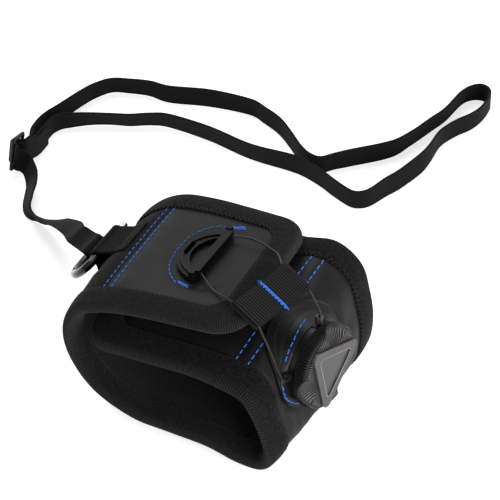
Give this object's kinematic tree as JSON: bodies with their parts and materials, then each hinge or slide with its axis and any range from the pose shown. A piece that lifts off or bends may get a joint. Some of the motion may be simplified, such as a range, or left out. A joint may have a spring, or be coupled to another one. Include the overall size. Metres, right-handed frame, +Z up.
{
  "type": "limb cuff",
  "caption": "Padded wrap-round limb cuff that closes with a flap, a hooked lace and a ratchet dial, with a D-ring and a webbing strap loop.",
  "frame": {"origin": "on the floor below the middle of the cuff, halfway between the D-ring and the dial", "axes": "+X across the cuff towards the dial, +Y along the cuff's axis from the front opening to the back, +Z up; the cuff lies on its side"},
  "size_m": [0.2133, 0.2768, 0.078],
  "materials": {
    "coated_panel": "dark charcoal coated synthetic leather, fine grain, satin",
    "foam": "grey closed-cell foam padding, matt",
    "lining": "near-black brushed lining, matt",
    "binding": "near-black ribbed knit edge tape, matt",
    "moulded_catch": "dark grey moulded nylon, satin",
    "lace": "near-black braided lace",
    "webbing": "near-black woven polyester webbing",
    "flange_moulding": "dark soft moulding, satin",
    "reel_plastic": "near-black moulded nylon",
    "spool_plastic": "dark grey acetal",
    "pawl_plastic": "pale acetal",
    "dial_shell": "dark grey satin plastic",
    "grip_rubber": "near-black ribbed grip",
    "cap_plastic": "dark grey satin plastic",
    "steel": "turned steel",
    "nickel": "black nickel plating, bright"
  },
  "bodies": {
    "cuff": {"body_panel": "coated_panel", "body_foam": "foam", "body_lining": "lining", "body_binding": "binding", "tongue_panel": "coated_panel", "tongue_foam": "foam", "tongue_lining": "lining", "tongue_binding": "binding", "reel_flange": "flange_moulding", "reel_housing": "reel_plastic", "lace_ports": "reel_plastic", "reel_axle": "steel", "axle_screw": "steel", "lace_run_front": "lace", "lace_run_back": "lace", "ring_tab": "webbing", "strap_lead": "webbing", "strap_slider": "reel_plastic", "strap_loop": "webbing"},
    "flap": {"flap_panel": "coated_panel", "flap_foam": "foam", "flap_lining": "lining", "flap_binding": "binding", "catch_plate": "moulded_catch", "lace_spreader": "webbing", "lace_loop": "lace"},
    "spool": {"lace_spool": "spool_plastic"},
    "dial": {"pawl_disc": "pawl_plastic", "dial_core": "dial_shell", "dial_grip": "grip_rubber", "dial_cap": "cap_plastic"},
    "ring": {"d_ring": "nickel", "strap_end": "webbing"}
  },
  "joints": [
    {"name": "flap_fold", "type": "hinge", "parent": "cuff", "child": "flap", "pos_m": [-0.03, 0, 0.0639], "axis": [0, -1, 0], "range_deg": [0, 100], "deforming": ["lace_run_front", "lace_run_back"]},
    {"name": "dial_turn", "type": "hinge", "parent": "cuff", "child": "spool", "pos_m": [0.0516, -0.006, 0.037], "axis": [0.9835, -0.1734, 0.0523], "continuous": true},
    {"name": "dial_lift", "type": "slide", "parent": "spool", "child": "dial", "axis": [0.9835, -0.1734, 0.0523], "range_m": [0, 0.0016]},
    {"name": "ring_swing", "type": "hinge", "parent": "cuff", "child": "ring", "pos_m": [-0.0498, 0.007, 0.052], "axis": [0, 1, 0], "range_deg": [-22, 100], "deforming": ["strap_lead"]}
  ]
}
